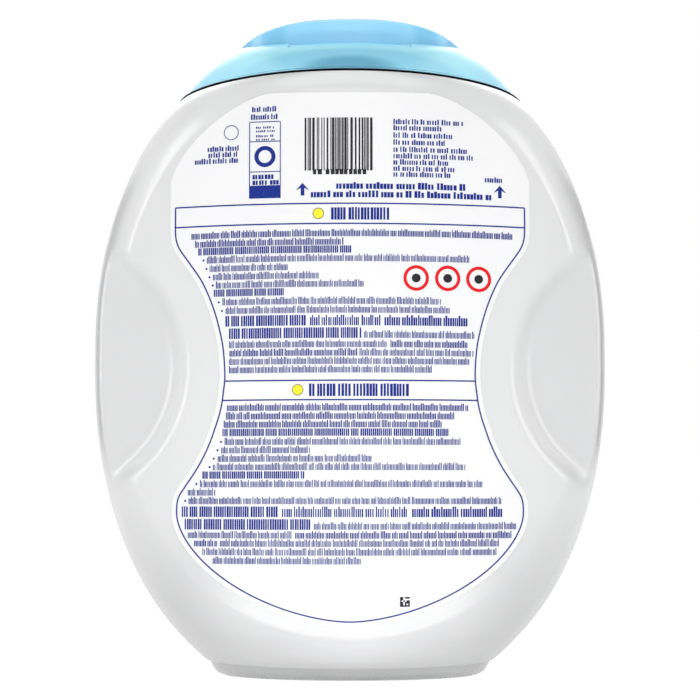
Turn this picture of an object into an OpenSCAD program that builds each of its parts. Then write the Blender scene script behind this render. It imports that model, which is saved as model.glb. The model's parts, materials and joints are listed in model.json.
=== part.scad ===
// Laundry pod tub: an oval blow-moulded tub with side grips, a snapped-on
// two-tier closure ring, a hinged flip lid and a press latch at the front.
// Millimetres, +Z up, origin on the floor under the middle of the base.
// The back of the pack, with the hinge and the text label, faces -Y.

/* [Tub] */
// half width of the tub at its widest
tub_half_w = 104.7; // [80:0.1:140]
// height where the lower curve ends
low_z = 126; // [100:1:150]
// height of the straight band at the widest place
mid_band = 8; // [0:1:30]
// height of the shoulder where the closure meets the tub
shoulder_z = 237.2; // [200:0.2:300]
// how much lower the shoulder's rim is at its two sides than at the front and back
rim_fall = 2.6; // [0:0.1:4]
// wall of the blown shell
wall = 1.8; // [1:0.1:3]
// how far above the shoulder the upper curve of the sides would close
side_over = 35.8; // [12:0.2:100]
// how far above the shoulder the upper curve of the front and back would close
face_over = 7; // [3:0.2:80]

/* [Base] */
// half width of the foot
foot_half_w = 56; // [40:1:80]
// half depth of the foot
foot_half_d = 39.5; // [25:0.5:60]
// height of the foot ring
foot_h = 6.7; // [4:0.1:12]
// rounding of the foot's bottom edge
foot_round = 5; // [2:0.5:6]
// width of the hollow's rim inside the foot
foot_rim = 8; // [7:0.5:12]
// flare of the foot towards the shell
foot_flare = 2; // [0:0.5:4]
// height of the hollow under the base
push_up = 3; // [1:0.5:5]

/* [Panels] */
// radius of the label panels, which are cylinders standing on end
panel_r = 170; // [120:5:400]
// distance of the panel from the middle of the tub
panel_d = 75; // [68:0.5:100]
// how far the shell's curve would stand out past the panel
panel_cut = 5; // [3:0.5:10]

/* [Grips] */
// radius of the round end of a grip scoop
grip_r = 48; // [30:1:60]
// height of the middle of the grips
grip_z = 124; // [100:1:150]
// distance from the middle to the inner edge of a grip
grip_x = 60; // [50:1:80]
// depth of the grip floor below the panel at its inner edge
grip_sink = 22; // [8:1:28]
// turn of the grip floor about the vertical
grip_turn = 27; // [15:1:50]
// rounding between the floor and the wall of a grip
grip_round = 9; // [3:1:14]

/* [Neck] */
// half width of the neck
neck_half_w = 57; // [45:0.5:60]
// half depth of the neck
neck_half_d = 53; // [40:0.5:56]
// height of the neck above the shoulder
neck_h = 6.8; // [5:0.1:9]
// how far the snap bead stands out from the neck
bead = 0.7; // [0.3:0.1:1]

/* [Closure ring] */
// half width of the ring where it meets the shoulder
ring_half_w = 71.3; // [65:0.1:80]
// half depth of the ring where it meets the shoulder
ring_half_d = 67; // [60:0.1:75]
// dark gap between the tub and the ring
ring_gap = 1.2; // [0.5:0.1:2]
// rise of the ring at the front and back
ring_rise = 16.5; // [14:0.1:22]
// how much higher the ring's top edge is at its two sides
ring_saddle = 2.5; // [0:0.1:5]
// wall of the ring
ring_wall = 2; // [1.2:0.1:3]
// wall of the upright rims inside the ring
rim_wall = 1.6; // [1:0.1:2.5]
// thickness of the ring's floor
plate = 2; // [1.2:0.1:3]
// clearance between the neck and the ring
neck_gap = 0.35; // [0.2:0.05:0.8]
// half width of the mouth
mouth_half_w = 38.4; // [30:0.2:42]
// half depth of the mouth
mouth_half_d = 26.8; // [20:0.2:27]
// height of the rim round the mouth
mouth_rim_h = 4.2; // [2:0.1:5]

/* [Flip lid] */
// half width of the lid
lid_half_w = 47; // [43:0.2:50]
// half depth of the lid
lid_half_d = 36.5; // [34:0.2:40]
// clearance between the lid and the ring
lid_gap = 0.6; // [0.4:0.05:1]
// extra room behind the lid for its back edge as it swings
swing_room = 0.4; // [0.3:0.05:1]
// wall of the lid
lid_wall = 1.8; // [1.2:0.1:2.5]
// height of the middle of the lid's top above the shoulder
lid_top = 28.9; // [25:0.1:34]
// how far the lid's top falls towards its two ends
lid_fall = 7.8; // [3:0.1:9]
// how far the lid's top falls towards its front and back
lid_crown = 1.2; // [0:0.1:3]
// clearance under the lid's edge
seat_gap = 0.2; // [0.1:0.05:0.5]
// drop from the lid's top to its upright side
lid_edge = 1.2; // [0.8:0.1:2.5]

/* [Hinge] */
// distance of the hinge axis behind the lid
hinge_back = 4; // [3:0.1:5]
// height of the hinge axis above the ring's floor
hinge_up = 5.2; // [4.5:0.1:6]
// radius of the hinge bar
hinge_r = 2; // [1.6:0.1:2.4]
// radius of the hinge pins
pin_r = 1.1; // [0.8:0.05:1.4]
// running clearance of the pins
pin_gap = 0.05; // [0.02:0.01:0.1]
// length of a hinge pin in its ear
pin_len = 1.3; // [0.8:0.1:1.5]
// half length of the hinge pocket
pocket_half = 24.5; // [18:0.5:28]
// clearance at the ends of the hinge bar
end_gap = 0.3; // [0.2:0.05:0.5]
// room behind and in front of the hinge parts
hinge_room = 1.6; // [1:0.1:2.5]

/* [Latch] */
// half width of the latch button
button_half = 12; // [9:0.5:16]
// clearance round the latch button
button_gap = 0.4; // [0.3:0.05:0.6]
// travel of the latch button
button_travel = 2; // [1:0.1:2]
// half width of the hook on the lid
hook_half = 4; // [3:0.5:5]
// thickness of the button's tongue
tongue_h = 1.8; // [1.2:0.1:2]
// height of the tongue above the ring's floor
tongue_up = 1.6; // [1.2:0.1:2]
// reach of the hook's toe
toe = 1.2; // [0.8:0.1:1.6]
// thickness of the hook
hook_t = 1.8; // [1.2:0.1:2.5]
// height of the hook
hook_h = 8; // [6:0.5:12]
// clearance between the toe and the button's bar
toe_gap = 0.2; // [0.1:0.05:0.4]
// width of the button's bar behind the hook
bar_t = 1.6; // [1:0.1:2.5]
// distance from the lid to the button's pad
pad_back = 9; // [8:0.5:12]
// length of the pad
pad_len = 12.8; // [10:0.2:14]
// length of the pad's level top
pad_flat = 5; // [2:0.5:8]
// height of the pad above the ring's floor
pad_h = 6.2; // [5:0.1:8]

/* [Labels] */
// thickness of a label film
film = 0.3; // [0.2:0.05:0.5]
// gap under a label film
film_gap = 0.1; // [0.05:0.05:0.3]
// half width of a label at its widest
label_half = 69.8; // [50:0.2:72]
// half width of a label at its waist between the grips
waist_half = 50.2; // [35:0.2:58]
// height of the waist
waist_z = 121; // [100:1:150]
// half width of the level part of a label's top edge
flat_half = 30; // [10:1:50]
// height where a label's top corners start
corner_z = 194; // [175:1:210]
// height where a label's rounded foot starts
belly_z = 66; // [50:1:80]
// height of a label's top edge
label_top = 227.6; // [200:0.2:230]
// height of a label's bottom edge
label_low = 23.4; // [20:0.2:40]

/* [Hidden] */
$fn = 48;
around = 48;
up_z = low_z + mid_band;
side_rise = shoulder_z - up_z + side_over;
face_rise = shoulder_z - up_z + face_over;
side_drop = low_z + 14;
face_drop = low_z - 4;
panel_c = panel_r - panel_d;
tub_half_d = panel_d + panel_cut;
floor_z = shoulder_z + neck_h;
deck_z = floor_z + plate;
ring_z = shoulder_z + ring_gap;
well_w = lid_half_w + lid_gap;
well_d = lid_half_d + lid_gap;
hinge_y = -(lid_half_d + hinge_back);
hinge_z = deck_z + hinge_up;
bar_half = pocket_half - end_gap;
lid_low = deck_z + seat_gap;
tongue_z = deck_z + tongue_up;
hook_y = lid_half_d - 0.7;
window_in = hook_y - hook_t - toe - toe_gap;
window_out = hook_y + button_travel + 0.6;
button_in = window_in - bar_t;
pad_in = lid_half_d + pad_back;
pocket_in = pad_in - button_travel - button_gap;
rim_back = mouth_half_d + rim_wall;
web_in = -rim_back - hinge_room;
pocket_back = hinge_y - hinge_r - hinge_room;
tongue_half = button_half - 3;
ear_half = button_half - 1;
ear_y = well_d * sqrt(1 - pow(ear_half / well_w, 2)) - 0.3;

// an oval ring of points at one height; e is 2 for an ellipse and more for a squarer oval
function sgp(v, p) = sign(v) * pow(abs(v), p);
function oval(z, a, b, e = 2) =
  [for (i = [0 : around - 1]) let (t = 360 * (i + 0.5) / around) [a * sgp(cos(t), 2 / e), b * sgp(sin(t), 2 / e), z]];

// half width and half depth of the shell at a height
function arc_of(t, e) = pow(max(0, 1 - pow(max(0, min(1, t)), e)), 1 / e);
function side_at(z) = tub_half_w * (z > up_z ? arc_of((z - up_z) / side_rise, 2.05)
  : z < low_z ? arc_of((low_z - z) / side_drop, 2.15) : 1);
function face_at(z) = tub_half_d * (z > up_z ? arc_of((z - up_z) / face_rise, 7)
  : z < low_z ? arc_of((low_z - z) / face_drop, 8) : 1);
function square_at(z) = 2.5 - 0.5 * min(1, pow(abs(z - low_z) / (shoulder_z - low_z), 10));

// a solid skinned over a stack of rings
module skin(rings) {
  n = len(rings[0]);
  m = len(rings);
  points = [for (r = rings) each r];
  low = [for (i = [0 : n - 1]) i];
  top = [for (i = [0 : n - 1]) (m - 1) * n + n - 1 - i];
  sides = [for (k = [0 : m - 2], i = [0 : n - 1]) let (j = (i + 1) % n)
    each [[k * n + i, (k + 1) * n + i, (k + 1) * n + j], [k * n + i, (k + 1) * n + j, k * n + j]]];
  polyhedron(points = points, faces = concat([low], sides, [top]), convexity = 6);
}

// a plain upright oval column
module oval_column(z0, z1, a, b) {
  skin([oval(z0, a, b), oval(z1, a, b)]);
}

// heights of the shell's rings, closer together near the base and the shoulder
steps_low = 11;
steps_up = 11;
function low_heights(z0) = [for (i = [0 : steps_low]) z0 + (low_z - z0) * (1 - cos(90 * i / steps_low))];
function up_heights(z1) = [for (i = [1 : steps_up]) up_z + (z1 - up_z) * sin(90 * i / steps_up)];
function fall_at(z) = rim_fall * pow(max(0, (z - up_z) / (shoulder_z - up_z)), 4);
function shell_ring(z, t) = let (a = side_at(z))
  [for (p = oval(z, a - t, face_at(z) - t, square_at(z))) [p[0], p[1], z - fall_at(z) * pow(p[0] / (a - t), 2)]];

module outer_form() {
  skin(concat(
    [for (k = [[0, 1], [0.4, 0.7], [1, 0.42], [1.8, 0.17], [2.8, 0]])
      oval(k[0], foot_half_w - foot_round * k[1], foot_half_d - foot_round * k[1])],
    [oval(foot_h, foot_half_w + foot_flare, foot_half_d + foot_flare)],
    [for (z = low_heights(foot_h + 0.3)) shell_ring(z, 0)],
    [for (z = up_heights(shoulder_z)) shell_ring(z, 0)],
    [oval(shoulder_z, neck_half_w, neck_half_d)]));
}

module inner_form() {
  skin(concat(
    [oval(push_up + wall, foot_half_w - foot_rim, foot_half_d - foot_rim)],
    [for (z = low_heights(foot_h + 0.3 + wall)) shell_ring(z, wall)],
    [for (z = up_heights(shoulder_z - wall)) shell_ring(z, wall)],
    [oval(shoulder_z - wall, neck_half_w - wall, neck_half_d - wall)]));
}

// two upright cylinders whose overlap leaves the curved label panels
module panel_form(t) {
  intersection() {
    translate([0, panel_c, -1]) cylinder(r = panel_r - t, h = shoulder_z + neck_h + 2, $fn = 180);
    translate([0, -panel_c, -1]) cylinder(r = panel_r - t, h = shoulder_z + neck_h + 2, $fn = 180);
  }
}

// one grip scoop: a round bowl with a flat floor, seen edge on from the side
module scoop(t) {
  r = grip_r + t;
  f = grip_round + t;
  depth = panel_d;
  rotate([90, 0, 0]) rotate_extrude($fn = 72)
    polygon(concat([[0, -t]],
      [for (i = [0 : 6]) [r - f + f * sin(15 * i), -t + f * (1 - cos(15 * i))]],
      [[r + 4, depth], [0, depth]]));
}

module scoops(t) {
  for (sx = [-1, 1], sy = [-1, 1])
    scale([sx, sy, 1])
      translate([grip_x + grip_r * cos(grip_turn), panel_d - grip_sink - grip_r * sin(grip_turn), grip_z])
        rotate([0, 0, -grip_turn]) rotate([0, 0, 180]) scoop(t);
}

module neck_form(t) {
  b = t > 0 ? bead : 0;
  h = neck_h;
  skin([oval(shoulder_z - 0.6, neck_half_w - wall + t, neck_half_d - wall + t),
    oval(shoulder_z + h * 0.45, neck_half_w - wall + t, neck_half_d - wall + t),
    oval(shoulder_z + h * 0.6, neck_half_w - wall + t + b, neck_half_d - wall + t + b),
    oval(shoulder_z + h * 0.7, neck_half_w - wall + t + b, neck_half_d - wall + t + b),
    oval(shoulder_z + h * 0.85, neck_half_w - wall + t, neck_half_d - wall + t),
    oval(floor_z, neck_half_w - wall + t, neck_half_d - wall + t)]);
}

module tub_body() {
  color([0.93, 0.94, 0.95])
  difference() {
    union() {
      difference() {
        intersection() {
          outer_form();
          panel_form(0);
        }
        scoops(0);
      }
      neck_form(wall);
    }
    difference() {
      intersection() {
        inner_form();
        panel_form(wall);
      }
      scoops(wall);
    }
    oval_column(shoulder_z - wall - 1, floor_z + 1, neck_half_w - wall, neck_half_d - wall);
    skin([oval(-1, foot_half_w - foot_rim, foot_half_d - foot_rim), oval(0, foot_half_w - foot_rim, foot_half_d - foot_rim),
      oval(push_up, foot_half_w - 2 * foot_rim, foot_half_d - 2 * foot_rim)]);
  }
}

// the ring's sloped band: f runs from 0 at the shoulder to 1 at the lid
function band_z(f, t) = let (c = pow(cos(t), 2))
  (ring_rise + (ring_saddle + rim_fall) * c) * (1 - pow(1 - f, 1.6)) - rim_fall * c;
function band_ring(f, inset, drop) = [for (i = [0 : around - 1]) let (t = 360 * (i + 0.5) / around)
  [(ring_half_w + (well_w - ring_half_w) * f - inset) * cos(t),
    (ring_half_d + (well_d - ring_half_d) * f - inset) * sin(t),
    ring_z + band_z(f, t) - drop]];

module band_form(inset, drop) {
  foot = inset > 0 ? oval(ring_z - rim_fall - drop - 1, ring_half_w - inset, ring_half_d - inset)
    : oval(ring_z, neck_half_w, neck_half_d);
  skin(concat([foot], [for (f = [0, 0.07, 0.16, 0.27, 0.4, 0.54, 0.68, 0.84, 1]) band_ring(f, inset, drop)]));
}

module lid_collar() {
  color([0.55, 0.8, 0.97])
  difference() {
    intersection() {
      band_form(0, 0);
      union() {
        // sloped outer band
        difference() {
          band_form(0, 0);
          band_form(ring_wall, ring_wall * 0.6);
        }
        // floor that sits on the neck
        oval_column(floor_z, deck_z, ring_half_w, ring_half_d);
        // skirt round the neck
        oval_column(ring_z, floor_z + 0.5, neck_half_w + neck_gap + rim_wall, neck_half_d + neck_gap + rim_wall);
        // wall of the well that the lid sits in
        translate([0, -swing_room, 0])
          oval_column(floor_z, floor_z + 30, well_w + rim_wall, well_d + swing_room + rim_wall);
        // walls of the hinge pocket
        translate([-pocket_half - rim_wall - 1, pocket_back - rim_wall, floor_z])
          cube([2 * (pocket_half + rim_wall + 1), web_in - pocket_back, 30]);
        // walls of the latch pocket
        translate([-button_half - button_gap - rim_wall, pocket_in - rim_wall, floor_z])
          cube([2 * (button_half + button_gap + rim_wall), 30, 30]);
      }
    }
    // room for the neck and its bead
    oval_column(ring_z - 1, floor_z, neck_half_w + neck_gap + bead, neck_half_d + neck_gap + bead);
    // well for the lid, leaving the rim of the mouth
    difference() {
      translate([0, -swing_room, 0]) oval_column(deck_z, floor_z + 40, well_w, well_d + swing_room);
      oval_column(deck_z - 1, deck_z + mouth_rim_h, mouth_half_w + rim_wall, mouth_half_d + rim_wall);
    }
    oval_column(floor_z - 1, floor_z + 40, mouth_half_w, mouth_half_d);
    // hinge pocket, open to the well, and the bores of its two ears
    translate([-pocket_half, pocket_back, deck_z]) cube([2 * pocket_half, web_in + 0.5 - pocket_back, 30]);
    translate([0, hinge_y, hinge_z]) rotate([0, 90, 0])
      cylinder(r = pin_r + pin_gap, h = 2 * (pocket_half + pin_len + 0.3), center = true);
    // latch pocket, and the slot for the tongue
    translate([-button_half - button_gap, pocket_in, deck_z]) cube([2 * (button_half + button_gap), 40, 30]);
    translate([-tongue_half - button_gap, rim_back + 0.6, tongue_z - 0.3])
      cube([2 * (tongue_half + button_gap), pocket_in - rim_back, tongue_h + 0.6]);
  }
}

// top of the lid: nearly level along its short way, falling in a curve towards both ends
function lid_z(x, y) = shoulder_z + lid_top - lid_fall * pow(abs(x) / lid_half_w, 3) - lid_crown * pow(y / lid_half_d, 2);
function lid_ring(s, inset, drop) = [for (i = [0 : around - 1]) let (t = 360 * (i + 0.5) / around,
  x = (lid_half_w - inset) * s * cos(t), y = (lid_half_d - inset) * s * sin(t)) [x, y, lid_z(x, y) - drop]];

module lid_form(inset, drop, low) {
  skin([oval(low, lid_half_w - inset, lid_half_d - inset),
    lid_ring(1, inset, drop + lid_edge), lid_ring(0.988, inset, drop + lid_edge * 0.45), lid_ring(0.965, inset, drop + lid_edge * 0.12),
    lid_ring(0.9, inset, drop), lid_ring(0.75, inset, drop), lid_ring(0.5, inset, drop), lid_ring(0.2, inset, drop)]);
}

module flip_lid() {
  color([0.66, 0.86, 0.99]) {
    difference() {
      union() {
        difference() {
          lid_form(0, 0, lid_low);
          lid_form(lid_wall, lid_wall, lid_low - 1);
        }
        // web and hinge bar
        translate([-bar_half, hinge_y, hinge_z - hinge_r]) cube([2 * bar_half, web_in - hinge_y, hinge_r]);
      }
      // room for the latch tongue under the front edge
      translate([-button_half - button_gap, lid_half_d - 12, lid_low - 1])
        cube([2 * (button_half + button_gap), 14, tongue_z + tongue_h + 0.4 - lid_low + 1]);
    }
    translate([0, hinge_y, hinge_z]) rotate([0, 90, 0]) cylinder(r = hinge_r, h = 2 * bar_half, center = true);
    translate([0, hinge_y, hinge_z]) rotate([0, 90, 0])
      cylinder(r = pin_r, h = 2 * (pocket_half + pin_len), center = true);
    // hook with its toe
    translate([-hook_half, hook_y - hook_t, lid_low + 0.2]) cube([2 * hook_half, hook_t, hook_h]);
    translate([-hook_half, hook_y - hook_t - toe, lid_low + 0.2]) cube([2 * hook_half, hook_t, 1]);
  }
}

module latch_button() {
  color([0.5, 0.77, 0.96])
  difference() {
    union() {
      // tongue that reaches in to the hook
      translate([-tongue_half, button_in, tongue_z]) cube([2 * tongue_half, pad_in + 1 - button_in, tongue_h]);
      // ears that stop it at the wall of the well
      translate([-ear_half, ear_y - 2, tongue_z]) cube([2 * ear_half, 2, tongue_h]);
      // thumb pad with a sloped face
      translate([button_half, 0, 0]) rotate([90, 0, -90]) linear_extrude(2 * button_half)
        polygon([[-pad_in, deck_z + 0.3], [-pad_in - pad_len + 0.4, deck_z + 0.3], [-pad_in - pad_len, deck_z + 1.2],
          [-pad_in - pad_flat, deck_z + pad_h], [-pad_in, deck_z + pad_h]]);
    }
    // window that the hook passes through
    translate([-hook_half - 1, window_in, tongue_z - 1]) cube([2 * hook_half + 2, window_out - window_in, tongue_h + 2]);
  }
}

// outline of a label: full at the top and bottom, with a waist between the grips
function waist_at(z) = label_half - (label_half - waist_half) * exp(-pow((z - waist_z) / (z > waist_z ? 39.4 : 36.5), 4));
function label_w(z) = z > corner_z
  ? flat_half + (label_half - flat_half) * arc_of((z - corner_z) / (label_top - corner_z), 1.5)
  : z < belly_z ? label_half * arc_of((belly_z - z) / (belly_z - label_low), 1.7)
  : waist_at(z);
function label_edge() = let (n = 44)
  [for (i = [0 : n]) let (z = label_low + (label_top - label_low) * (1 - cos(180 * i / n)) / 2) [max(3, label_w(z)), z]];

module label_film() {
  edge = label_edge();
  n = len(edge);
  intersection() {
    difference() {
      translate([0, panel_c, label_low - 1])
        cylinder(r = panel_r + film_gap + film, h = label_top - label_low + 2, $fn = 180);
      translate([0, panel_c, label_low - 2]) cylinder(r = panel_r + film_gap, h = label_top - label_low + 4, $fn = 180);
    }
    rotate([90, 0, 0]) linear_extrude(panel_d + 5)
      polygon(concat(edge, [for (i = [0 : n - 1]) [-edge[n - 1 - i][0], edge[n - 1 - i][1]]]));
  }
}

module back_label() {
  color([0.97, 0.98, 0.99]) label_film();
}

module front_label() {
  color([0.97, 0.98, 0.99]) rotate([0, 0, 180]) label_film();
}

tub_body();
lid_collar();
flip_lid();
latch_button();
back_label();
front_label();
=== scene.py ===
import json
import math
import random
import bpy
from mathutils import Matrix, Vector

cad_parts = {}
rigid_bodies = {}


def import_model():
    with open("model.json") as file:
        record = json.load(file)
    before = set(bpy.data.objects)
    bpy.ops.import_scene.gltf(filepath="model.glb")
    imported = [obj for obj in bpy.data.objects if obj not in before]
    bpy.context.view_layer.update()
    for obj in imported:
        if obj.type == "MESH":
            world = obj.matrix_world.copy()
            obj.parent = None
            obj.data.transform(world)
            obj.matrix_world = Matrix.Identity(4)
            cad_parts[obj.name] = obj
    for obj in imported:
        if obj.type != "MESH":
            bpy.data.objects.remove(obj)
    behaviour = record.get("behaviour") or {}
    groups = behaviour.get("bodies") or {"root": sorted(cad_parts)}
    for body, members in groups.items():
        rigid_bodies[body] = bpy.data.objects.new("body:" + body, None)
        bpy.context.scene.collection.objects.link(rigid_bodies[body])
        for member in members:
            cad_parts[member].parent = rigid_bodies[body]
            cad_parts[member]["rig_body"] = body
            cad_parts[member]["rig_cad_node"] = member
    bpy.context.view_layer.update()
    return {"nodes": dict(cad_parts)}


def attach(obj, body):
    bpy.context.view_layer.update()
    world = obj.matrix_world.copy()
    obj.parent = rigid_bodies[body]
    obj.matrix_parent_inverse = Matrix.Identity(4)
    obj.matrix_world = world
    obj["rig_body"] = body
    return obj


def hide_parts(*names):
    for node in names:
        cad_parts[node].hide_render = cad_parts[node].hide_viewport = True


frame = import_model()
MM = 0.001

# The shell in mm. Below LOW_Z and above UP_Z it closes towards the foot and the shoulder.
LOW_Z, UP_Z, SHOULDER = 126.0, 134.0, 237.2
HALF_W, HALF_D = 104.7, 80.0
SIDE_RISE, SIDE_DROP = 139.0, 140.0
FACE_RISE, FACE_DROP = 110.2, 122.0
PANEL_R, PANEL_C = 170.0, 95.0
WALL = 1.8
RIM_FALL = 2.6

# The grips in mm: centre, radius, and width of the sloping rim.
GRIP_X, GRIP_Z, GRIP_R, GRIP_RIM = 115.0, 123.0, 53.5, 9.0

# The foot, from the hollow under the base outwards, as height, half width and half depth in mm.
FOOT = (
    (2.2, 42.0, 25.5), (0.6, 46.5, 30.0), (0.1, 47.7, 31.2), (0.0, 48.4, 31.9), (0.0, 50.4, 33.9),
    (0.1, 51.6, 35.1), (0.4, 52.6, 36.1), (1.0, 54.0, 37.5), (1.8, 55.1, 38.6), (2.8, 55.9, 39.4),
    (4.4, 56.8, 40.3), (5.8, 57.5, 41.0), (6.4, 57.9, 41.5), (6.75, 58.5, 43.4),
)

# The neck's half width and half depth in mm, and its profile as height and distance outside that oval.
NECK_A, NECK_B = 57, 53
NECK = (
    (237.2, 2.2), (237.6, 0.6), (238.2, 0.0), (240.3, 0.0), (241.2, 0.7), (242.0, 0.7), (243.0, 0.0),
    (243.7, -0.1), (244.0, -0.5), (244.0, -1.3), (243.7, -1.7), (243.0, -1.8), (237.0, -1.8), (235.6, -1.4),
)


# Camera, solved from the photograph: its place in mm, its upward tilt, and its focal length in pixels.

EYE = Vector((0.0, -900.0, 72.4))
TILT = math.radians(3.88)
FOCAL = 2172.0
FRAME_PX = 700
SENSOR_MM = 36


def pixel_ray(px, py):
    """Direction of the view through a pixel of the square frame."""
    right = (px - FRAME_PX / 2) / FOCAL
    up = (FRAME_PX / 2 - py) / FOCAL
    forward = math.cos(TILT) - up * math.sin(TILT)
    return Vector((right, forward, math.sin(TILT) + up * math.cos(TILT)))


def make_camera():
    bpy.context.scene.view_settings.view_transform = "Standard"
    bpy.ops.object.camera_add(location=EYE * MM, rotation=(math.radians(90) + TILT, 0, 0))
    cam = bpy.context.object
    cam.name = "photo_camera"
    cam.data.sensor_width = SENSOR_MM
    cam.data.lens = FOCAL / FRAME_PX * SENSOR_MM
    cam.data.clip_start = 0.02
    cam.data.clip_end = 50
    bpy.context.scene.camera = cam


# Shader sums.

class Val:
    """One shader socket that can be added, multiplied and so on in Python."""

    def __init__(self, coat, socket):
        self.coat = coat
        self.socket = socket

    def sum(self, operation, *values):
        return self.coat.node("ShaderNodeMath", {"operation": operation}, dict(enumerate(values)))

    def __add__(self, other):
        return self.sum("ADD", self, other)

    def __sub__(self, other):
        return self.sum("SUBTRACT", self, other)

    def __rsub__(self, other):
        return self.sum("SUBTRACT", other, self)

    def __mul__(self, other):
        return self.sum("MULTIPLY", self, other)

    def __pow__(self, other):
        return self.sum("POWER", self, other)

    def __abs__(self):
        return self.sum("ABSOLUTE", self)

    def most(self, other):
        """The larger of two values."""
        return self.sum("MAXIMUM", self, other)

    def over(self, low, high):
        """0 below low, 1 above high, smooth between."""
        settings = {"interpolation_type": "SMOOTHSTEP"}
        values = {0: self, 1: low, 2: high, 3: 0.0, 4: 1.0}
        return self.coat.node("ShaderNodeMapRange", settings, values)


def oval_square(u, v, half_u, half_v):
    """0 in the middle of an oval, 1 on its edge, and more outside."""
    return (u * (1 / half_u)) ** 2 + (v * (1 / half_v)) ** 2


class Coat:
    """A material under construction."""

    def __init__(self, name):
        self.material = bpy.data.materials.new(name)
        self.material.use_nodes = True
        self.tree = self.material.node_tree
        self.shader = self.tree.nodes["Principled BSDF"]
        self.place = self.node("ShaderNodeTexCoord", {}, {}, "Object")

    def node(self, kind, settings, values, output=0):
        made = self.tree.nodes.new(kind)
        for key, value in settings.items():
            if key == "stops":
                ramp = made.color_ramp
                while len(ramp.elements) < len(value):
                    ramp.elements.new(0.5)
                for element, (at, colour) in zip(ramp.elements, value):
                    element.position = at
                    element.color = (*colour, 1.0)
            else:
                setattr(made, key, value)
        for key, value in values.items():
            if isinstance(value, Val):
                self.tree.links.new(value.socket, made.inputs[key])
            else:
                made.inputs[key].default_value = value
        return Val(self, made.outputs[output])

    def axes(self):
        split = self.node("ShaderNodeSeparateXYZ", {}, {0: self.place})
        outs = split.socket.node.outputs
        return Val(self, outs[0]), Val(self, outs[1]), Val(self, outs[2])

    def grain(self, size_mm, detail=2.0, stretch=(1, 1, 1), rough=0.5):
        """Noise with grains of about this size."""
        at = self.node("ShaderNodeMapping", {}, {"Vector": self.place, "Scale": stretch})
        values = {"Vector": at, "Scale": 1000.0 / size_mm, "Detail": detail, "Roughness": rough}
        return self.node("ShaderNodeTexNoise", {}, values)

    def blend(self, amount, first, second):
        """A colour between two colours."""
        first = first if isinstance(first, Val) else (*first, 1.0)
        second = second if isinstance(second, Val) else (*second, 1.0)
        return self.node("ShaderNodeMix", {"data_type": "RGBA"}, {0: amount, 6: first, 7: second}, 2)

    def bump(self, height, depth_mm, strength=1.0, under=None):
        values = {"Strength": strength, "Distance": depth_mm * MM, "Height": height}
        if under is not None:
            values["Normal"] = under
        return self.node("ShaderNodeBump", {}, values)

    def set(self, **sockets):
        for key, value in sockets.items():
            socket = self.shader.inputs[key.replace("_", " ")]
            if isinstance(value, Val):
                self.tree.links.new(value.socket, socket)
            else:
                socket.default_value = value
        return self.material


def white_tub_coat():
    """Blown polyethylene: satin white, cloudy, faint flow lines, scuffed on its foot, with painted shade in
    the grips, on the lower sides and in the gap under the ring.
    """
    c = Coat("white_blown_plastic")
    x, y, z = c.axes()
    cloud = c.grain(38, 2.0, (1, 1, 0.5)).over(0.3, 0.7)
    flow = c.grain(9, 3.0, (1, 1, 0.06))
    skin = c.grain(0.7, 2.0)
    foot = 1 - z.over(0.0004, 0.004)
    scuff = (c.grain(1.6, 4.0, (1, 1, 4)).over(0.5, 0.68)) * foot
    colour = c.blend(cloud, (0.7, 0.702, 0.708), (0.72, 0.722, 0.727))
    # Painted shade: the grip scoops are darkened, standing in for the shade in the recesses.
    hollow = (abs(x) - GRIP_X * MM) ** 2 + (z - GRIP_Z * MM) ** 2
    colour = c.blend((1 - hollow.over(0.0018, 0.0029)) * 0.5, colour, (0.62, 0.622, 0.63))
    # Painted shade: the lower outer sides of the tub are darkened.
    under = (1 - z.over(0.03, 0.075)) * (x ** 2).over(0.0012, 0.0045)
    colour = c.blend(under * 0.5, colour, (0.52, 0.522, 0.53))
    colour = c.blend(scuff * 0.5, colour, (0.55, 0.55, 0.56))
    # Painted shade: the neck and the rim inside the gap under the ring are painted near black.
    seam = (1 - oval_square(x, y, 0.0705, 0.0664).over(0.94, 0.99)) * z.over(0.234, 0.2345)
    outer = oval_square(x, y, 0.0562, 0.0522).over(0.98, 1.0)
    colour = c.blend(seam * outer * 0.98, colour, (0.004, 0.012, 0.03))
    wave = c.bump(flow, 0.02, 0.15)
    normal = c.bump(skin, 0.004, 0.3, wave)
    rough = cloud * 0.03 + flow * 0.03 + scuff * 0.25 + 0.22
    return c.set(Base_Color=colour, Roughness=rough, Normal=normal, IOR=1.5)


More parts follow.
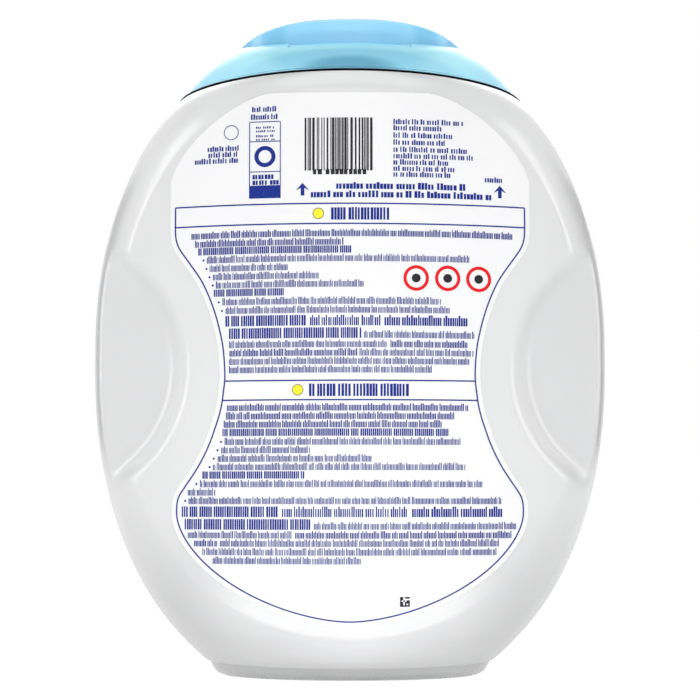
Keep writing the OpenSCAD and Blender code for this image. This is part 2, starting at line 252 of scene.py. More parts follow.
def blue_lid_coat(name, light, deep, ring):
    """Moulded polypropylene: glossy, with faint flow marks and fine handling scratches.

    The ring has painted shade round its hinge and at its ends, and is painted near black as painted shade
    along the gap over the tub.
    The lid has painted shade at its ends.
    """
    c = Coat(name)
    x, y, z = c.axes()
    cloud = c.grain(26, 2.0).over(0.3, 0.7)
    skin = c.grain(0.5, 2.0)
    scratch = c.grain(3.0, 3.0, (0.08, 1, 1)).over(0.6, 0.75)
    colour = c.blend(cloud, light, deep)
    if ring:
        # Painted shade: a dark patch low on the ring round the hinge, with a paler fringe, for the shadow
        # seen through the ring.
        hinge_shade = oval_square(x, z - 0.2388, 0.021, 0.0075).over(0.15, 1.15)
        hinge_shade_fringe = oval_square(x, z - 0.2375, 0.046, 0.0125).over(0.7, 1.1)
        behind = 1 - y.over(-0.05, -0.03)
        # Painted shade at the ring's ends.
        colour = c.blend((x ** 2).over(0.0014, 0.0046) * 0.8, colour, (0.18, 0.6, 0.9))
        colour = c.blend((1 - hinge_shade_fringe) * behind * 0.45, colour, (0.24, 0.62, 0.9))
        colour = c.blend((1 - hinge_shade) * behind * 0.85, colour, (0.09, 0.38, 0.56))
        # Painted shade: the skirt, the inside of the rim and the lower lip, seen through the gap over the
        # tub, are painted near black.
        low = z + (x * (1 / 0.0713)) ** 2 * (RIM_FALL * MM)
        skirt = (1 - oval_square(x, y, 0.06, 0.056).over(0.97, 1.0)) * (1 - z.over(0.2425, 0.243))
        within = (1 - oval_square(x, y, 0.0706, 0.0663).over(0.98, 1.0)) * (1 - low.over(0.2392, 0.2396))
        lip = 1 - low.over(0.23855, 0.23868)
        colour = c.blend(skirt.most(within).most(lip) * 0.97, colour, (0.004, 0.015, 0.04))
    else:
        # Painted shade at the lid's ends.
        ends = (x ** 2).over(0.00055, 0.00082)
        colour = c.blend(ends * 0.55, colour, (0.17, 0.52, 0.82))
    wave = c.bump(c.grain(14, 1.0), 0.03, 0.2)
    normal = c.bump(skin, 0.004, 0.4, wave)
    rough = cloud * 0.05 + scratch * 0.03 + 0.2
    return c.set(Base_Color=colour, Roughness=rough, Normal=normal, IOR=1.49)


def film_coat():
    """White printed film: smooth, with the faint tooth of the stock."""
    c = Coat("label_film")
    tooth = c.grain(0.35, 2.0)
    cloud = c.grain(30, 2.0).over(0.3, 0.7)
    colour = c.blend(cloud, (0.845, 0.842, 0.853), (0.86, 0.857, 0.866))
    normal = c.bump(tooth, 0.004, 0.4)
    return c.set(Base_Color=colour, Roughness=cloud * 0.05 + 0.3, Normal=normal)


def ink_coat(name, colour):
    """Printing ink: the colour thins a little in specks."""
    c = Coat(name)
    speck = c.grain(0.25, 2.0).over(0.45, 0.75)
    thin = tuple(v + (1 - v) * 0.06 for v in colour)
    ink = c.blend(speck * 0.6, colour, thin)
    return c.set(Base_Color=ink, Roughness=speck * 0.1 + 0.4, Specular_IOR_Level=0.15)


# Studio: a floor and a world that look white and light the part softly, lamps, and black flags.

# Where each lamp stands, what it aims at, its width and height, and its power.
LAMPS = {
    "front_softbox": ((0.0, -1.5, 0.75), (0, 0, 0.14), 1.1, 1.0, 3.4),
    "low_strip": ((0.0, -1.1, 0.06), (0, 0, 0.06), 1.3, 0.1, 1.4),
    "foot_strip": ((0.0, -0.42, 0.006), (0, 0, 0.004), 0.6, 0.01, 0.5),
    "left_strip": ((-1.2, 0.12, 0.6), (0, 0, 0.16), 0.35, 1.0, 4.2),
    "right_strip": ((1.2, 0.12, 0.6), (0, 0, 0.16), 0.35, 1.0, 3.6),
    "top_softbox": ((0.0, -0.1, 1.5), (0, 0, 0.1), 1.0, 1.0, 5.2),
    "back_softbox": ((0.0, 1.6, 0.9), (0, 0, 0.14), 1.2, 1.0, 6.5),
}
# Where each flag stands, its turn in degrees, and its scale.
FLAGS = {
    "left_flag": ((-0.7, 0.95, 0.3), (0, 90, 0), (1, 0.8, 0.5)),
    "right_flag": ((0.68, 0.9, 0.3), (0, 90, 0), (1, 0.9, 0.5)),
    "rear_flag": ((0.0, 0.62, 1.42), (-25, 0, 0), (0.8, 0.5, 1)),
}
FLOOR_GLOW = 1.08
FLOOR_GLOW_SHARE = 0.9
WORLD_SEEN = 1.0
WORLD_LIGHT = 0.45


def looking_rays(tree):
    """1 for rays from the camera, mirrored or refracted, and 0 for those that light the scene."""
    path = tree.nodes.new("ShaderNodeLightPath")
    result = path.outputs["Is Camera Ray"]
    for name in ("Is Glossy Ray", "Is Transmission Ray"):
        larger = tree.nodes.new("ShaderNodeMath")
        larger.operation = "MAXIMUM"
        tree.links.new(result, larger.inputs[0])
        tree.links.new(path.outputs[name], larger.inputs[1])
        result = larger.outputs[0]
    return result


def make_floor():
    bpy.ops.mesh.primitive_plane_add(size=30, location=(0, 0, 0))
    floor = bpy.context.object
    floor.name = "studio_floor"
    c = Coat("studio_floor")
    seen = Val(c, looking_rays(c.tree))
    paper = c.blend(c.grain(900, 1.0), (0.93, 0.93, 0.93), (0.95, 0.95, 0.95))
    plain = c.node("ShaderNodeBsdfDiffuse", {}, {"Color": paper})
    white = c.node("ShaderNodeEmission", {}, {"Color": (1, 1, 1, 1), "Strength": FLOOR_GLOW})
    mixed = c.node("ShaderNodeMixShader", {}, {0: seen * FLOOR_GLOW_SHARE, 1: plain, 2: white})
    out = c.tree.nodes["Material Output"]
    c.tree.links.new(mixed.socket, out.inputs["Surface"])
    floor.data.materials.append(c.material)


def make_world():
    world = bpy.data.worlds.new("studio")
    bpy.context.scene.world = world
    world.use_nodes = True
    tree = world.node_tree
    back = tree.nodes["Background"]
    level = tree.nodes.new("ShaderNodeMapRange")
    level.inputs[3].default_value = WORLD_LIGHT
    level.inputs[4].default_value = WORLD_SEEN
    tree.links.new(looking_rays(tree), level.inputs[0])
    tree.links.new(level.outputs[0], back.inputs["Strength"])
    back.inputs["Color"].default_value = (1, 1, 1, 1)


def make_lamps():
    for name, (place, aim, width, height, power) in LAMPS.items():
        bpy.ops.object.light_add(type="AREA", location=place)
        lamp = bpy.context.object
        lamp.name = name
        lamp.data.shape = "RECTANGLE"
        lamp.data.size = width
        lamp.data.size_y = height
        lamp.data.energy = power
        lamp.visible_camera = False
        lamp.rotation_mode = "QUATERNION"
        lamp.rotation_quaternion = (Vector(aim) - Vector(place)).to_track_quat("-Z", "Y")


def make_flags():
    black = Coat("black_flag")
    cloth = black.grain(3, 2.0)
    black.set(Base_Color=black.blend(cloth, (0.02, 0.02, 0.02), (0.035, 0.035, 0.035)), Roughness=0.9)
    for name, (place, turn, scale) in FLAGS.items():
        pick_none()
        turn = [math.radians(v) for v in turn]
        bpy.ops.mesh.primitive_plane_add(size=1, location=place, rotation=turn)
        flag = bpy.context.object
        flag.name = name
        bpy.ops.transform.resize(value=scale)
        flag.visible_camera = False
        flag.data.materials.append(black.material)


# The shell's form: the ovals and panels that the solids have, and grips fitted to the photograph.

def arc_of(t, e):
    """Height of a superellipse's arc, from 1 at t = 0 to 0 at t = 1."""
    t = min(max(t, 0.0), 1.0)
    return max(0.0, 1.0 - t ** e) ** (1.0 / e)


def side_at(z):
    """Half width of the tub."""
    if z > UP_Z:
        return HALF_W * arc_of((z - UP_Z) / SIDE_RISE, 2.05)
    return HALF_W * arc_of((LOW_Z - z) / SIDE_DROP, 2.15)


def face_at(z):
    """Half depth of the tub, before its panels are cut."""
    if z > UP_Z:
        return HALF_D * arc_of((z - UP_Z) / FACE_RISE, 7)
    return HALF_D * arc_of((LOW_Z - z) / FACE_DROP, 8)


def square_at(z):
    """Exponent of the oval: 2.5 in the middle of the tub, and 2, an ellipse, at its ends."""
    return 2.5 - 0.5 * min(1.0, (abs(z - LOW_Z) / (SHOULDER - LOW_Z)) ** 10)


def fall_at(z):
    """How far the two ends of an oval hang below its middle."""
    return RIM_FALL * max(0.0, (z - UP_Z) / (SHOULDER - UP_Z)) ** 4


def bend(v, p):
    return math.copysign(abs(v) ** p, v)


def grip_depth(x, y, z, wall):
    """How far the grip scoop sinks a point of the face, measured towards the middle plane."""
    out = math.hypot(GRIP_X - abs(x), z - GRIP_Z)
    ramp = min(max((GRIP_R + wall - out) / GRIP_RIM, 0.0), 1.0)
    ramp = ramp * ramp * (3 - 2 * ramp)
    floor = 53.0 - wall - 0.51 * (abs(x) - 60.0)
    return max(0.0, abs(y) - floor) * ramp


def shell_oval(z, wall, count):
    a, b, e = side_at(z) - wall, face_at(z) - wall, square_at(z)
    ring = []
    for i in range(count):
        t = 2 * math.pi * i / count
        x = a * bend(math.cos(t), 2 / e)
        y = b * bend(math.sin(t), 2 / e)
        flat = math.sqrt((PANEL_R - wall) ** 2 - x * x) - PANEL_C
        y = math.copysign(min(abs(y), flat), y)
        y = math.copysign(abs(y) - grip_depth(x, y, z, wall), y)
        ring.append((x, y, z - fall_at(z) * (x / a) ** 2))
    return ring


def plain_oval(z, a, b, count):
    turns = [2 * math.pi * i / count for i in range(count)]
    return [(a * math.cos(turn), b * math.sin(turn), z) for turn in turns]


def even(low, high, step):
    """Evenly spaced values from low to high, about a step apart."""
    n = max(1, round((high - low) / step))
    return [low + (high - low) * i / n for i in range(n + 1)]


def pick_none():
    bpy.ops.object.select_all(action="DESELECT")


def only(piece):
    pick_none()
    piece.select_set(True)
    bpy.context.view_layer.objects.active = piece


def wrapped_grid(name, rings):
    """A grid rolled up and shaped ring by ring, its seam and its two poles closed."""
    around, up = len(rings[0]), len(rings)
    pick_none()
    bpy.ops.mesh.primitive_grid_add(x_subdivisions=around, y_subdivisions=up - 1, size=1)
    piece = bpy.context.object
    piece.name = name
    for index, vertex in enumerate(piece.data.vertices):
        row, column = divmod(index, around + 1)
        vertex.co = Vector(rings[row][column % around]) * MM
    bpy.ops.object.mode_set(mode="EDIT")
    bpy.ops.mesh.select_all(action="SELECT")
    bpy.ops.mesh.remove_doubles(threshold=0.00001)
    bpy.ops.mesh.normals_make_consistent(inside=False)
    bpy.ops.object.mode_set(mode="OBJECT")
    piece.location = (0, 0, 0)
    bpy.ops.object.shade_smooth_by_angle(angle=math.radians(50))
    return piece


def make_tub():
    """Tub shell, from the middle of its base up the outside, over the neck and down the inside."""
    count = 256
    step = 1.5
    rings = [plain_oval(3.0, 0.001, 0.001, count)]
    for share in (0.1, 0.3, 0.6, 0.85, 1.0):
        rings.append(plain_oval(3.0, 40 * share, 23.5 * share, count))
    for z, a, b in FOOT:
        rings.append(plain_oval(z, a, b, count))
    heights = [6.9, 7.3, 8.0, 9.0, 10.2, 11.6, 13.2, 15.0, 17.0] + even(19.0, 224.0, step)
    heights += [225.5, 227, 228.5, 230, 231.3, 232.5, 233.6, 234.6, 235.5, 236.2, 236.8, 237.1]
    for z in heights:
        rings.append(shell_oval(z, 0.0, count))
    a, b = side_at(SHOULDER), face_at(SHOULDER)
    for lift, inset in ((-0.05, 0.5), (0.0, 1.2)):
        rim = shell_oval(SHOULDER, 0.0, count)
        rings.append([(x * (a - inset) / a, y * (b - inset) / b, z + lift) for x, y, z in rim])
    for z, out in NECK:
        rings.append(plain_oval(z, NECK_A + out, NECK_B + out, count))
    rings.append(plain_oval(235.4, 59, 55, count))
    rings.append([(x * 0.96, y * 0.96, z) for x, y, z in shell_oval(235.0, WALL, count)])
    for z in reversed(even(9.5, 233.0, 4.0)):
        rings.append(shell_oval(z, WALL, count))
    for z, share in ((6.2, 0.9), (5.0, 0.72), (4.8, 0.4), (4.8, 0.1), (4.8, 0.00002)):
        rings.append(plain_oval(z, 55 * share, 48 * share, count))
    tub = wrapped_grid("tub_shell", rings)
    soften = tub.modifiers.new("soften", "SMOOTH")
    zone = tub.vertex_groups.new(name="grips")
    for vertex in tub.data.vertices:
        x, _, z = vertex.co / MM
        out = math.hypot(GRIP_X - abs(x), z - GRIP_Z)
        if out < 60 and abs(x) > 55:
            zone.add([vertex.index], min(1.0, (60 - out) / 5), "ADD")
    soften.vertex_group = "grips"
    soften.factor = 0.5
    soften.iterations = 6
    only(tub)
    bpy.ops.object.modifier_apply(modifier="soften")
    tub.data.materials.append(white_tub_coat())
    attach(tub, "tub")
    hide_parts("tub_body")


def smooth_copy(name, node, angle):
    """A merged copy of a solid with its curved faces shaded smooth."""
    pick_none()
    copy = frame["nodes"][node].copy()
    copy.data = copy.data.copy()
    copy.name = name
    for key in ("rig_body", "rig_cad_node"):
        if key in copy:
            del copy[key]
    copy.parent = None
    bpy.context.scene.collection.objects.link(copy)
    only(copy)
    bpy.ops.object.mode_set(mode="EDIT")
    bpy.ops.mesh.select_all(action="SELECT")
    bpy.ops.mesh.remove_doubles(threshold=0.00002)
    bpy.ops.object.mode_set(mode="OBJECT")
    bpy.ops.mesh.customdata_custom_splitnormals_clear()
    bpy.ops.object.shade_smooth_by_angle(angle=math.radians(angle))
    return copy


# Labels and their print.

FILM_R = PANEL_R + 0.3
INK_R = PANEL_R + 0.33
FILM_THICK = 0.15
INK_THICK = 0.05
LABEL_FOOT, LABEL_TALL = 23.4, 204.2
LABEL_ARCH_LOW, LABEL_ARCH_TOP = 66, 194


def on_panel(px, py):
    """x and z in mm of the place on the back label that a pixel of the frame shows."""
    ray = pixel_ray(px, py)
    ox, oy = EYE.x, EYE.y - PANEL_C
    a = ray.x ** 2 + ray.y ** 2
    b = 2 * (ox * ray.x + oy * ray.y)
    c = ox * ox + oy * oy - INK_R ** 2
    t = (-b - math.sqrt(b * b - 4 * a * c)) / (2 * a)
    return EYE.x + t * ray.x, EYE.z + t * ray.z


def wrap(x, z, radius):
    """The point in metres at x and z in mm on the back panel, for a panel of this radius in mm."""
    return Vector((x, PANEL_C - math.sqrt(radius * radius - x * x), z)) * MM


# Half width of a label at heights down its sides, in mm.
LABEL_SIDE = (
    (62, 68.4), (66, 68.7), (70, 68.6), (73.5, 67.7), (77, 65.5), (81, 62.7), (85, 60.1), (90, 57.4),
    (94.5, 55.4), (99, 53.8), (103.5, 52.3), (108, 51.2), (113, 50.5), (118, 50.0), (124, 50.2), (130, 50.8),
    (135, 51.8), (140, 53.1), (145, 54.7), (150, 56.7), (155, 59.2), (160, 62.6), (164, 65.5), (167.5, 67.9),
    (171, 69.3), (175, 69.8), (180, 69.8), (194, 69.8), (208, 69.8),
)


def label_half(z):
    """Half width of a label: an arch above, an arch below, and a smooth curve through LABEL_SIDE between."""
    if z > LABEL_ARCH_TOP:
        return 30 + 39.8 * arc_of((z - LABEL_ARCH_TOP) / 33.6, 1.5)
    if z < LABEL_ARCH_LOW:
        return 68.7 * arc_of((LABEL_ARCH_LOW - z) / 42.6, 1.72)
    i = max(k for k in range(1, len(LABEL_SIDE) - 2) if LABEL_SIDE[k][0] <= z)
    (z0, w0), (z1, w1), (z2, w2), (z3, w3) = LABEL_SIDE[i - 1:i + 3]
    t = (z - z1) / (z2 - z1)
    lean1 = (w2 - w0) / (z2 - z0) * (z2 - z1)
    lean2 = (w3 - w1) / (z3 - z1) * (z2 - z1)
    start = (2 * t ** 3 - 3 * t ** 2 + 1) * w1 + (t ** 3 - 2 * t ** 2 + t) * lean1
    return start + (3 * t ** 2 - 2 * t ** 3) * w2 + (t ** 3 - t ** 2) * lean2


def make_film(name, node, back):
    """Label film: a grid drawn in to the label's outline and laid on the panel."""
    pick_none()
    bpy.ops.mesh.primitive_grid_add(x_subdivisions=48, y_subdivisions=140, size=1)
    film = bpy.context.object
    film.name = name
    for vertex in film.data.vertices:
        v = vertex.co.y + 0.5
        z = LABEL_FOOT + LABEL_TALL * (1 - math.cos(math.pi * v)) / 2
        x = 2 * vertex.co.x * max(label_half(z), 0.4)
        vertex.co = wrap(x, z, FILM_R)
    film.location = (0, 0, 0)
    only(film)
    bpy.ops.object.mode_set(mode="EDIT")
    bpy.ops.mesh.select_all(action="SELECT")
    bpy.ops.mesh.remove_doubles(threshold=0.00001)
    if not back:
        bpy.ops.transform.rotate(value=math.pi, orient_axis="Z", center_override=(0, 0, 0))
    bpy.ops.object.mode_set(mode="OBJECT")
    sheet = film.modifiers.new("thickness", "SOLIDIFY")
    sheet.thickness = FILM_THICK * MM
    inwards = 1 if back else -1
    sheet.offset = 1.0 if film.data.polygons[0].normal.y * inwards > 0 else -1.0
    bpy.ops.object.modifier_apply(modifier="thickness")
    bpy.ops.object.shade_smooth_by_angle(angle=math.radians(40))
    film.data.materials.append(film_coat())
    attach(film, "tub")
    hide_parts(node)


class Ink:
    """One ink of the print: grids laid on the back panel, joined and given the thickness of ink."""

    def __init__(self, name, colour):
        self.name = name
        self.colour = colour
        self.parts = []
        bpy.context.tool_settings.mesh_select_mode = (False, False, True)

    def lay(self, columns, rows, place, keep=None):
        """A grid whose corner (i, j) goes to place(i, j) in x and z.

        A cell for which keep(i, j) is false is left out.
        """
        pick_none()
        bpy.ops.mesh.primitive_grid_add(x_subdivisions=columns, y_subdivisions=rows, size=1)
        part = bpy.context.object
        for index, vertex in enumerate(part.data.vertices):
            j, i = divmod(index, columns + 1)
            vertex.co = wrap(*place(i, j), INK_R)
        part.location = (0, 0, 0)
        if keep:
            for index, polygon in enumerate(part.data.polygons):
                j, i = divmod(index, columns)
                polygon.select = not keep(i, j)
            bpy.ops.object.mode_set(mode="EDIT")
            bpy.ops.mesh.delete(type="FACE")
            bpy.ops.object.mode_set(mode="OBJECT")
        self.parts.append(part)

    def bar(self, x0, z0, x1, z1):
        """A filled box from one corner to the other."""
        n = max(1, round(abs(x1 - x0) / 3))
        self.lay(n, 1, lambda i, j: (x0 + (x1 - x0) * i / n, (z0, z1)[j]))

    def stroke(self, path, width):
        """A line of even width along a path of (x, z) points."""
        sides = []
        for i, (x, z) in enumerate(path):
            ax, az = path[max(0, i - 1)]
            bx, bz = path[min(len(path) - 1, i + 1)]
            size = math.hypot(bx - ax, bz - az)
            ox, oz = (az - bz) / size * width / 2, (bx - ax) / size * width / 2
            sides.append(((x - ox, z - oz), (x + ox, z + oz)))
        self.lay(len(path) - 1, 1, lambda i, j: sides[i][j])

    def ring(self, x, z, radius, width=None):
        """A ring, or a disc if it is given no width."""
        low = radius - width / 2 if width else 0.0
        high = radius + width / 2 if width else radius
        n = 40 if high > 1 else 12

        def place(i, j):
            turn = 2 * math.pi * i / n
            r = (low, high)[j]
            return x + r * math.cos(turn), z - r * math.sin(turn)
        self.lay(n, 1, place)

    def columns(self, edges, z0, z1, z2, tall, gone):
        """A row of upright blocks between pairs of edges: the tall ones reach z2, the rest z1."""
        heights = (z0, z1, z2)

        def place(i, j):
            return edges[i], heights[j]

        def keep(i, j):
            return i % 2 == 0 and i not in gone and (j == 0 or i in tall)
        self.lay(len(edges) - 1, 2, place, keep)

    def piece(self):
        """Joins what was laid into one piece of the part."""
        pick_none()
        for part in self.parts:
            part.select_set(True)
        bpy.context.view_layer.objects.active = self.parts[0]
        bpy.ops.object.join()
        made = bpy.context.object
        made.name = self.name
        bpy.ops.object.mode_set(mode="EDIT")
        bpy.ops.mesh.select_all(action="SELECT")
        bpy.ops.mesh.remove_doubles(threshold=0.000004)
        bpy.ops.object.mode_set(mode="OBJECT")
        layer = made.modifiers.new("thickness", "SOLIDIFY")
        layer.thickness = INK_THICK * MM
        layer.offset = 1.0
        bpy.ops.object.modifier_apply(modifier="thickness")
        made.data.materials.clear()
        made.data.materials.append(ink_coat(self.name, self.colour))
        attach(made, "tub")


def words(ink, chance, px0, px1, py, pitch, high, bold, capitals=False):
    """One line of mock text: runs of small blocks that stand for words and spell nothing.

    The pitch and the height are a letter's, in mm. A letter over 2.6 mm high is two blocks, others one.
    """
    x, end = on_panel(px0, py)[0], on_panel(px1, py)[0]
    z = on_panel(FRAME_PX / 2, py)[1] - high / 2
    per_letter = 2 if high > 2.6 else 1
    pitch /= per_letter
    share = 0.78 if bold else 0.62
    low = 1.0 if capitals else 0.78
    edges, tall, gone = [], set(), set()
    left = chance.randint(2, 8)
    while x < end - pitch * 0.6:
        wide = pitch * share * chance.uniform(0.8, 1.2)
        if left == 0:
            gone.add(len(edges))
            left = chance.choice((2, 3, 3, 4, 5, 6, 7, 8, 9)) * per_letter + 1
            wide = pitch * 0.2
            step = pitch * 0.7
        else:
            if chance.random() < 0.28:
                tall.add(len(edges))
            step = max(pitch * chance.uniform(0.85, 1.15), wide + 0.2)
        edges += [x, x + wide]
        x += step
        left -= 1
    ink.columns(edges, z, z + high * low, z + high * max(1.0, low + 0.02), tall, gone)


def inset_outline(distance, low, high):
    """The right side of the label's outline, moved inwards, from the upper height down to the lower."""
    n = 170
    levels = [low + (high - low) * (1 - i / n) ** 2 for i in range(n + 1)]
    side = [(label_half(z), z) for z in levels]
    moved = []
    for i, (x, z) in enumerate(side):
        ax, az = side[max(0, i - 1)]
        bx, bz = side[min(n, i + 1)]
        size = math.hypot(bx - ax, bz - az)
        moved.append((x + (bz - az) / size * distance, z - (bx - ax) / size * distance))
    return moved


# Line widths of the print in mm.
THIN, LINE = 0.36, 0.54
# Pitch and height in mm of the letters that the mock text stands for.
SMALL, BIG, CAPITAL = (1.05, 2.8), (1.62, 4.0), (1.36, 2.75)

# Lines of the two text fields, in pixels of the frame: first and last column, row, size, and weight.
# Weight 1 is light, 2 is bold, and 3 is bold capitals.
TEXT_LINES = (
    (191.5, 512, 232.5, SMALL, 2), (195, 344, 241, SMALL, 2), (198.3, 352.7, 249, CAPITAL, 3),
    (207, 469.7, 257.4, SMALL, 1), (209.7, 287.7, 266, SMALL, 1), (213, 320.7, 274.6, SMALL, 1),
    (216, 364.8, 283, SMALL, 1), (213.8, 284.3, 291.3, CAPITAL, 3), (222.5, 441.9, 300.2, SMALL, 1),
    (225.7, 450, 309, SMALL, 1), (225.4, 306.6, 320, BIG, 3), (310, 381, 320, BIG, 1),
    (384.5, 467.3, 320, BIG, 2), (229, 361.6, 332.6, BIG, 3), (364, 475, 334, SMALL, 1),
    (229, 387.8, 343.4, SMALL, 1), (390.5, 469, 343.4, SMALL, 2), (229.5, 356.8, 351.9, SMALL, 2),
    (359.5, 473.9, 351.9, SMALL, 1), (229, 469.7, 360.3, SMALL, 1), (229, 433, 368.8, SMALL, 1),
    (227, 469, 406.8, SMALL, 2), (226, 455, 415.3, SMALL, 2), (223.7, 441.6, 423.6, SMALL, 2),
    (222.5, 448.4, 432.1, CAPITAL, 3), (224.7, 460.5, 441, SMALL, 1), (221.3, 310.3, 449.4, SMALL, 1),
    (217.7, 372.6, 457.9, SMALL, 1), (213, 466.3, 466.4, SMALL, 1), (202.4, 304.2, 474.9, CAPITAL, 3),
    (200, 482.3, 483.5, SMALL, 1), (187.9, 215.7, 491.9, SMALL, 1), (188.6, 501.7, 500.5, SMALL, 1),
    (181.8, 279, 511.9, BIG, 3), (282, 409, 511.9, BIG, 1), (412, 503, 511.9, BIG, 2),
    (184.7, 310.3, 524.6, BIG, 3), (313.9, 516.8, 526, SMALL, 1), (187.9, 292.6, 535, SMALL, 1),
    (295, 511.4, 535, SMALL, 2), (194, 217.4, 543.3, SMALL, 2), (220, 500, 543.3, SMALL, 1),
    (202.4, 496.9, 552, SMALL, 1), (212.8, 361.6, 560.8, SMALL, 1),
)

# Column and row of each bullet.
BULLETS = (
    (203.5, 257.4), (206.5, 266), (209.5, 274.6), (212.8, 283), (218.8, 300.2), (222, 309),
    (221, 441), (217.6, 449.4), (213.8, 457.9), (209.6, 466.4), (196.3, 483.5), (185.2, 500.5),
)

# Lines of fine text over the fields: first and last column, and row.
FINE_LINES = (
    (393.4, 464, 121), (393.4, 443, 127.2), (393.4, 454, 134.6), (393.4, 445, 141.6),
    (393.4, 469, 148.8), (393.4, 473, 155.3), (393.4, 450, 161.5), (393.4, 454.6, 167.8),
    (393.4, 451, 173.6), (484.8, 505.9, 176.5), (252, 278, 107.6), (251, 279, 115.3),
    (207.7, 239.3, 145.6), (208.5, 239.3, 151.7), (195, 239.5, 157.8),
)


def row_z(py):
    """Height in mm on the label of a row in the middle of the frame."""
    return on_panel(FRAME_PX / 2, py)[1]


def print_border(blue):
    """The border of the two text fields and the rules that part them."""
    head_z = row_z(203.2)
    edge = inset_outline(2.0, LABEL_FOOT, head_z)
    edge = [(max(x, 0.0), max(z, LABEL_FOOT + 2.0)) for x, z in edge]
    edge = [point for point in edge if point[0] > 0.4]
    blue.stroke(edge, LINE)
    blue.stroke([(-x, z) for x, z in edge], LINE)
    x, z = edge[-1]
    blue.bar(-x, z - LINE / 2, x, z + LINE / 2)
    for z in (row_z(223.3), row_z(380.2), row_z(399.6), head_z):
        half = min(edge, key=lambda point: abs(point[1] - z))[0]
        blue.bar(-half, z - LINE / 2, half, z + LINE / 2)


def print_headings(blue, black, yellow, chance):
    """The two headings, each with a yellow spot before it."""
    words(blue, chance, 331, 389, 213.4, 2.35, 4.7, True, True)
    words(blue, chance, 309, 409, 389.8, 2.35, 4.7, True, True)
    for px, py in ((318.3, 213.4), (297.7, 389.8)):
        x, z = on_panel(px, py)
        yellow.ring(x, z, 1.9)
        black.ring(x, z, 2.05, 0.22)


def print_fields(blue, chance):
    """The mock text of the two fields, and its bullets."""
    for px0, px1, py, (pitch, high), weight in TEXT_LINES:
        words(blue, chance, px0, px1, py, pitch, high, weight > 1, weight == 3)
    for px, py in BULLETS:
        blue.ring(on_panel(px, py)[0], row_z(py) - 0.15, 0.42)


def print_bars(black, chance):
    """Upright bars of random width, with a row of small blocks under them."""
    x, end = on_panel(304.7, 117)[0], on_panel(373.8, 117)[0]
    heights = (on_panel(339, 170.3)[1], on_panel(339, 117.4)[1])
    edges = [x]
    while edges[-1] < end - 0.9:
        more = 0.1 if len(edges) % 2 else -0.06
        edges.append(edges[-1] + chance.choice((0.28, 0.28, 0.56, 0.84)) + more)
    edges = edges[:len(edges) // 2 * 2]
    black.lay(len(edges) - 1, 1, lambda i, j: (edges[i], heights[j]), lambda i, j: i % 2 == 0)
    words(black, chance, 313, 366, 171.6, 1.75, 2.0, True, True)


def print_fine_text(blue, chance):
    """The fine text over the fields, and the arrow at each end of its last two lines."""
    for px0, px1, py in FINE_LINES:
        words(blue, chance, px0, px1, py, 0.92, 2.1, False, False)
    words(blue, chance, 336.2, 467.3, 185.4, 1.28, 2.6, True, False)
    words(blue, chance, 310.8, 492, 193.8, 1.28, 2.6, True, False)
    for px, py in ((302.5, 189.3), (499.8, 192.2)):
        x, z = on_panel(px, py)
        blue.bar(x - 0.7, z - 2.4, x + 0.7, z + 0.9)
        columns = (x - 2.3, x, x + 2.3)
        lower = (z - 0.3, z + 0.9, z - 0.3)
        upper = (z - 0.1, z + 2.5, z - 0.1)
        blue.lay(2, 1, lambda i, j: (columns[i], (lower, upper)[j][i]))


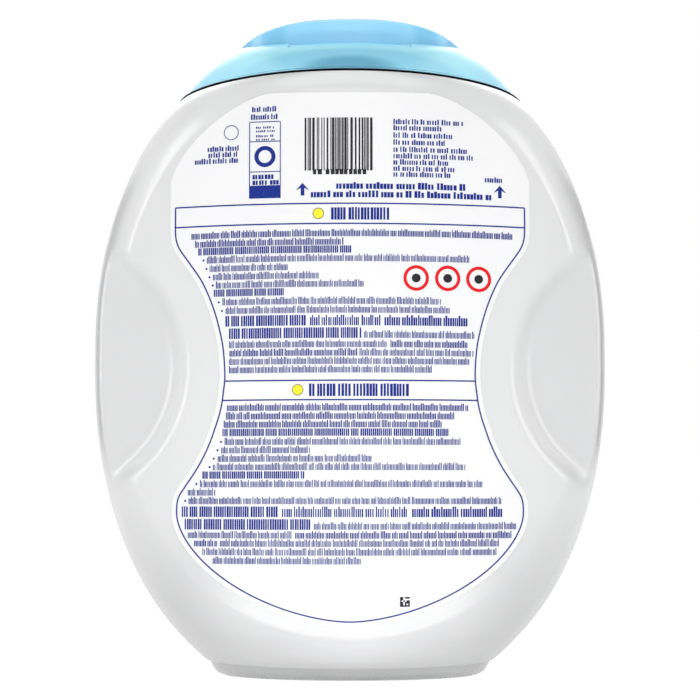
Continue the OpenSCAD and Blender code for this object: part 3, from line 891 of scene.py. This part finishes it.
def print_box(blue, chance):
    """The small box with a ring in it, and the round mark beside it."""
    x0, x1 = on_panel(249.6, 160)[0], on_panel(280.3, 160)[0]
    rows = [on_panel(265, py)[1] for py in (121.8, 141.4, 171.7, 185.4, 198.3)]
    for x in (x0, x1):
        blue.bar(x - THIN / 2, rows[4], x + THIN / 2, rows[0])
    for z in rows[:3]:
        blue.bar(x0 + THIN / 2, z - THIN / 2, x1 - THIN / 2, z + THIN / 2)
    blue.bar(x0 + THIN / 2, rows[4], x1 - THIN / 2, rows[3])
    blue.ring((x0 + x1) / 2, (rows[1] + rows[2]) / 2, 3.3, 1.6)
    for py in (126, 129.6, 134.6, 138):
        words(blue, chance, 256, 275, py, 0.8, 0.9, False, False)
    for py in (175.7, 181.4):
        words(blue, chance, 252.5, 278, py, 1.15, 1.7, True, True)
    x, z = on_panel(231.3, 132.7)
    blue.ring(x, z, 2.75, 0.3)


def print_marks(black, red, chance):
    """Three red rings with a plain disc in each, and a small patch of random squares."""
    for px, py in ((416.2, 278), (447.7, 278.4), (478.7, 279.4)):
        x, z = on_panel(px, py)
        red.ring(x, z, 4.3, 1.25)
        black.ring(x, z, 1.7)
    left, top = on_panel(400, 597)
    cells, size = 6, 0.62

    def place(i, j):
        return left + i * size, top - (cells - j) * size

    def keep(i, j):
        return i == 0 or j == 0 or chance.random() < 0.5
    black.lay(cells, cells, place, keep)


def make_print():
    """Everything printed on the back label, as plain shapes and mock text."""
    blue = Ink("blue_print", (0.002, 0.022, 0.235))
    black = Ink("black_print", (0.012, 0.012, 0.016))
    yellow = Ink("yellow_print", (0.93, 0.82, 0.03))
    red = Ink("red_print", (0.74, 0.004, 0.008))
    chance = random.Random(11)
    print_border(blue)
    print_headings(blue, black, yellow, chance)
    print_fields(blue, chance)
    print_bars(black, chance)
    print_fine_text(blue, chance)
    print_box(blue, chance)
    print_marks(black, red, chance)
    for ink in (blue, black, yellow, red):
        ink.piece()


# The closure: copies of the solids, shaded smooth, with their coats.

RING_BLUE = ((0.39, 0.87, 0.99), (0.36, 0.83, 0.98))
LID_BLUE = ((0.35, 0.75, 0.99), (0.33, 0.72, 0.98))
# Piece, node, body, slot, and the two blues that its coat drifts between.
CLOSURE = (
    ("closure_ring", "lid_collar", "tub", "ring_plastic", RING_BLUE),
    ("flip_lid_shell", "flip_lid", "lid", "lid_plastic", LID_BLUE),
    ("press_button", "latch_button", "button", "button_plastic", RING_BLUE),
)


def make_closure():
    for name, node, body, slot, blues in CLOSURE:
        piece = smooth_copy(name, node, 32)
        piece.data.materials.clear()
        piece.data.materials.append(blue_lid_coat(slot, *blues, ring=name == "closure_ring"))
        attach(piece, body)
        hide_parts(node)


make_camera()
make_floor()
make_world()
make_lamps()
make_flags()
make_tub()
make_film("back_label_film", "back_label", True)
make_film("front_label_film", "front_label", False)
make_print()
make_closure()
